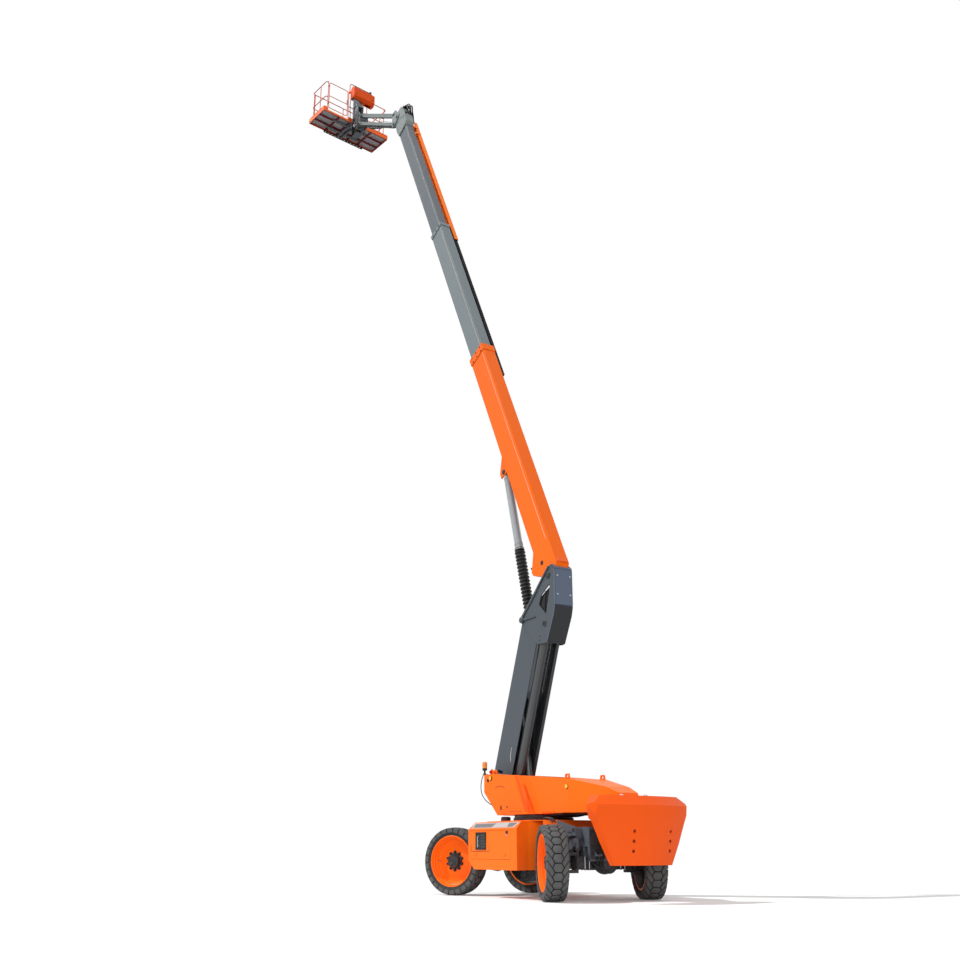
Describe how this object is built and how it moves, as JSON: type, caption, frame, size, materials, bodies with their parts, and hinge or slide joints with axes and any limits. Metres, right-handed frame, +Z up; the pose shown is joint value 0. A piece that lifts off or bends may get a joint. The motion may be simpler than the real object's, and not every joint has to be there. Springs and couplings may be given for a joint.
{
  "type": "telescopic boom lift",
  "caption": "Self-propelled boom lift with a folding riser, a telescopic main boom, a levelled jib and a railed work platform, raised.",
  "frame": {"origin": "on the ground, under the axis about which the turntable slews", "axes": "+X ahead, towards the platform with the turntable straight, +Y to the left, +Z up"},
  "size_m": [14.0734, 2.7012, 24.4928],
  "materials": {
    "orange_paint": "gloss",
    "boom_grey": "satin",
    "riser_grey": "satin",
    "head_grey": "satin",
    "dark_steel": "satin",
    "black_plastic": "matte",
    "tyre_rubber": "matte",
    "bellows_rubber": "matte",
    "rod_chrome": "polished",
    "barrel_silver": "satin",
    "rail_orange": "satin",
    "console_orange": "gloss",
    "panel_grey": "brushed",
    "cast_iron": "matte",
    "beacon_amber": "gloss"
  },
  "bodies": {
    "chassis": {"chassis_frame": "dark_steel", "chassis_deck": "orange_paint", "slew_ring": "dark_steel", "left_hood": "orange_paint", "right_hood": "orange_paint", "engine_block": "cast_iron", "hydraulic_tank": "dark_steel", "front_axle": "dark_steel", "rear_axle": "dark_steel", "front_axle_struts": "barrel_silver", "rear_axle_struts": "barrel_silver"},
    "left_door": {"left_hood_door": "orange_paint"},
    "right_door": {"right_hood_door": "orange_paint"},
    "turntable": {"turntable_frame": "orange_paint", "counterweight": "orange_paint", "beacon": "beacon_amber"},
    "riser": {"riser_beam": "riser_grey"},
    "level_links": {"level_links": "dark_steel"},
    "riser_barrel": {"riser_lift_barrel": "dark_steel"},
    "riser_rod": {"riser_lift_rod": "rod_chrome"},
    "knuckle": {"knuckle_frame": "riser_grey", "knuckle_covers": "dark_steel"},
    "base_boom": {"base_boom": "orange_paint"},
    "mid_boom": {"mid_boom": "boom_grey", "cable_track": "black_plastic"},
    "fly_boom": {"fly_boom": "boom_grey", "boom_head": "head_grey", "hose_tray": "orange_paint"},
    "boom_barrel": {"boom_lift_barrel": "barrel_silver"},
    "boom_rod": {"boom_lift_rod": "rod_chrome", "boom_lift_bellows": "bellows_rubber"},
    "jib_bracket": {"jib_bracket": "head_grey"},
    "jib_lower": {"jib_lower_arms": "boom_grey"},
    "jib_upper": {"jib_upper_arm": "boom_grey"},
    "jib_barrel": {"jib_lift_barrel": "barrel_silver"},
    "jib_rod": {"jib_lift_rod": "rod_chrome"},
    "support": {"platform_support": "boom_grey"},
    "platform": {"platform_arm": "boom_grey", "platform_floor": "orange_paint", "floor_panels": "panel_grey", "guard_rails": "rail_orange", "console_cover": "console_orange"},
    "gate": {"platform_gate": "rail_orange"},
    "front_left_knuckle": {"front_left_knuckle": "dark_steel"},
    "front_left_wheel": {"front_left_tyre": "tyre_rubber", "front_left_rim": "orange_paint"},
    "front_right_knuckle": {"front_right_knuckle": "dark_steel"},
    "front_right_wheel": {"front_right_tyre": "tyre_rubber", "front_right_rim": "orange_paint"},
    "front_steer_rod": {"front_steer_rod": "rod_chrome"},
    "rear_left_knuckle": {"rear_left_knuckle": "dark_steel"},
    "rear_left_wheel": {"rear_left_tyre": "tyre_rubber", "rear_left_rim": "orange_paint"},
    "rear_right_knuckle": {"rear_right_knuckle": "dark_steel"},
    "rear_right_wheel": {"rear_right_tyre": "tyre_rubber", "rear_right_rim": "orange_paint"},
    "rear_steer_rod": {"rear_steer_rod": "rod_chrome"}
  },
  "joints": [
    {"name": "left_door_hinge", "type": "hinge", "parent": "chassis", "child": "left_door", "pos_m": [0, 1.15, 1.12], "axis": [1, 0, 0], "range_deg": [0, 75]},
    {"name": "right_door_hinge", "type": "hinge", "parent": "chassis", "child": "right_door", "pos_m": [0, -1.15, 1.12], "axis": [-1, 0, 0], "range_deg": [0, 75]},
    {"name": "front_steer", "type": "hinge", "parent": "chassis", "child": "front_left_knuckle", "pos_m": [1.67, 0.72, 0.6], "axis": [0, 0, 1], "range_deg": [-60, 6]},
    {"name": "front_left_wheel_spin", "type": "hinge", "parent": "front_left_knuckle", "child": "front_left_wheel", "pos_m": [1.56104, 0.93384, 0.6], "axis": [-0.454, 0.891, 0], "continuous": true},
    {"name": "front_right_steer", "type": "hinge", "parent": "chassis", "child": "front_right_knuckle", "pos_m": [1.67, -0.72, 0.6], "axis": [0, 0, 1], "range_deg": [-60, 6]},
    {"name": "front_right_wheel_spin", "type": "hinge", "parent": "front_right_knuckle", "child": "front_right_wheel", "pos_m": [1.77896, -0.93384, 0.6], "axis": [-0.454, 0.891, 0], "continuous": true},
    {"name": "front_rod_slide", "type": "slide", "parent": "chassis", "child": "front_steer_rod", "axis": [0, 1, 0], "range_m": [-0.01998, 0.18175]},
    {"name": "rear_steer", "type": "hinge", "parent": "chassis", "child": "rear_left_knuckle", "pos_m": [-1.67, 0.72, 0.6], "axis": [0, 0, 1], "range_deg": [-8, 58]},
    {"name": "rear_left_wheel_spin", "type": "hinge", "parent": "rear_left_knuckle", "child": "rear_left_wheel", "pos_m": [-1.56857, 0.93751, 0.6], "axis": [0.4226, 0.9063, 0], "continuous": true},
    {"name": "rear_right_steer", "type": "hinge", "parent": "chassis", "child": "rear_right_knuckle", "pos_m": [-1.67, -0.72, 0.6], "axis": [0, 0, 1], "range_deg": [-8, 58]},
    {"name": "rear_right_wheel_spin", "type": "hinge", "parent": "rear_right_knuckle", "child": "rear_right_wheel", "pos_m": [-1.77143, -0.93751, 0.6], "axis": [0.4226, 0.9063, 0], "continuous": true},
    {"name": "rear_rod_slide", "type": "slide", "parent": "chassis", "child": "rear_steer_rod", "axis": [0, 1, 0], "range_m": [-0.02601, 0.17611]},
    {"name": "turntable_slew", "type": "hinge", "parent": "chassis", "child": "turntable", "pos_m": [0, 0, 1.4], "axis": [0, 0, 1], "continuous": true},
    {"name": "riser_lift", "type": "hinge", "parent": "turntable", "child": "riser", "pos_m": [1.12, 0, 1.845], "axis": [0, 1, 0], "range_deg": [-58, 2]},
    {"name": "knuckle_level", "type": "hinge", "parent": "riser", "child": "knuckle", "pos_m": [-0.05, 0, 4.94132], "axis": [0, 1, 0], "range_deg": [-2, 58]},
    {"name": "link_swing", "type": "hinge", "parent": "turntable", "child": "level_links", "pos_m": [0.72, 0, 1.745], "axis": [0, 1, 0], "range_deg": [-58, 2]},
    {"name": "riser_barrel_swing", "type": "hinge", "parent": "turntable", "child": "riser_barrel", "pos_m": [0.35, 0, 1.5], "axis": [0, 1, 0], "range_deg": [-55.2, 2]},
    {"name": "riser_rod_slide", "type": "slide", "parent": "riser_barrel", "child": "riser_rod", "axis": [0.1627, 0, 0.9867], "range_m": [-0.81597, 0.03007]},
    {"name": "boom_lift", "type": "hinge", "parent": "knuckle", "child": "base_boom", "pos_m": [-0.6, 0, 5.75], "axis": [0, -1, 0], "range_deg": [-64.7, 5.3]},
    {"name": "boom_telescope", "type": "slide", "parent": "base_boom", "child": "mid_boom", "axis": [0.4274, 0, 0.9041], "range_m": [-4.4, 0]},
    {"name": "fly_telescope", "type": "slide", "parent": "mid_boom", "child": "fly_boom", "axis": [0.4274, 0, 0.9041], "range_m": [-4.4, 0]},
    {"name": "boom_barrel_swing", "type": "hinge", "parent": "base_boom", "child": "boom_barrel", "pos_m": [1.12261, 0, 8.36462], "axis": [0, -1, 0], "range_deg": [-4.29, 0.44]},
    {"name": "boom_rod_slide", "type": "slide", "parent": "boom_barrel", "child": "boom_rod", "axis": [-0.2395, 0, -0.9709], "range_m": [-1.21884, 0.10168]},
    {"name": "head_level", "type": "hinge", "parent": "fly_boom", "child": "jib_bracket", "pos_m": [6.62, 0, 20.99], "axis": [0, -1, 0], "range_deg": [-5.3, 64.7]},
    {"name": "jib_lift", "type": "hinge", "parent": "jib_bracket", "child": "jib_lower", "pos_m": [6.82, 0, 20.86], "axis": [0, -1, 0], "range_deg": [-93.5, 18]},
    {"name": "jib_upper_swing", "type": "hinge", "parent": "jib_bracket", "child": "jib_upper", "pos_m": [6.85, 0, 21.2], "axis": [0, -1, 0], "range_deg": [-93.5, 18]},
    {"name": "jib_barrel_swing", "type": "hinge", "parent": "jib_bracket", "child": "jib_barrel", "pos_m": [6.82, 0, 20.86], "axis": [0, -1, 0], "range_deg": [-93.89, 18.16]},
    {"name": "jib_rod_slide", "type": "slide", "parent": "jib_barrel", "child": "jib_rod", "axis": [0.8216, 0, 0.57], "range_m": [-0.12535, 0.02575]},
    {"name": "support_level", "type": "hinge", "parent": "jib_lower", "child": "support", "pos_m": [9.32166, 0, 22.51581], "axis": [0, -1, 0], "range_deg": [-18, 93.5]},
    {"name": "platform_swivel", "type": "hinge", "parent": "support", "child": "platform", "pos_m": [9.7, 0, 22.5], "axis": [0, 0, 1], "range_deg": [-88, 72]},
    {"name": "gate_hinge", "type": "hinge", "parent": "platform", "child": "gate", "pos_m": [9.89447, 1.00181, 23], "axis": [0, 0, 1], "range_deg": [0, 90]}
  ],
  "couplings": [
    {"joint": "front_right_steer", "follows": "front_steer", "ratio": 1},
    {"joint": "front_rod_slide", "follows": "front_steer", "m_per_rad": -0.17165},
    {"joint": "rear_right_steer", "follows": "rear_steer", "ratio": 1},
    {"joint": "rear_rod_slide", "follows": "rear_steer", "m_per_rad": 0.17199},
    {"joint": "knuckle_level", "follows": "riser_lift", "ratio": -1},
    {"joint": "link_swing", "follows": "riser_lift", "ratio": 1},
    {"joint": "riser_barrel_swing", "follows": "riser_lift", "ratio": 0.94992},
    {"joint": "riser_rod_slide", "follows": "riser_lift", "m_per_rad": 0.80409},
    {"joint": "fly_telescope", "follows": "boom_telescope", "ratio": 1},
    {"joint": "boom_barrel_swing", "follows": "boom_lift", "ratio": 0.064751},
    {"joint": "boom_rod_slide", "follows": "boom_lift", "m_per_rad": 1.0776},
    {"joint": "head_level", "follows": "boom_lift", "ratio": -1},
    {"joint": "jib_upper_swing", "follows": "jib_lift", "ratio": 1},
    {"joint": "jib_barrel_swing", "follows": "jib_lift", "ratio": 1.0031},
    {"joint": "jib_rod_slide", "follows": "jib_lift", "m_per_rad": 0.075588},
    {"joint": "support_level", "follows": "jib_lift", "ratio": -1}
  ]
}
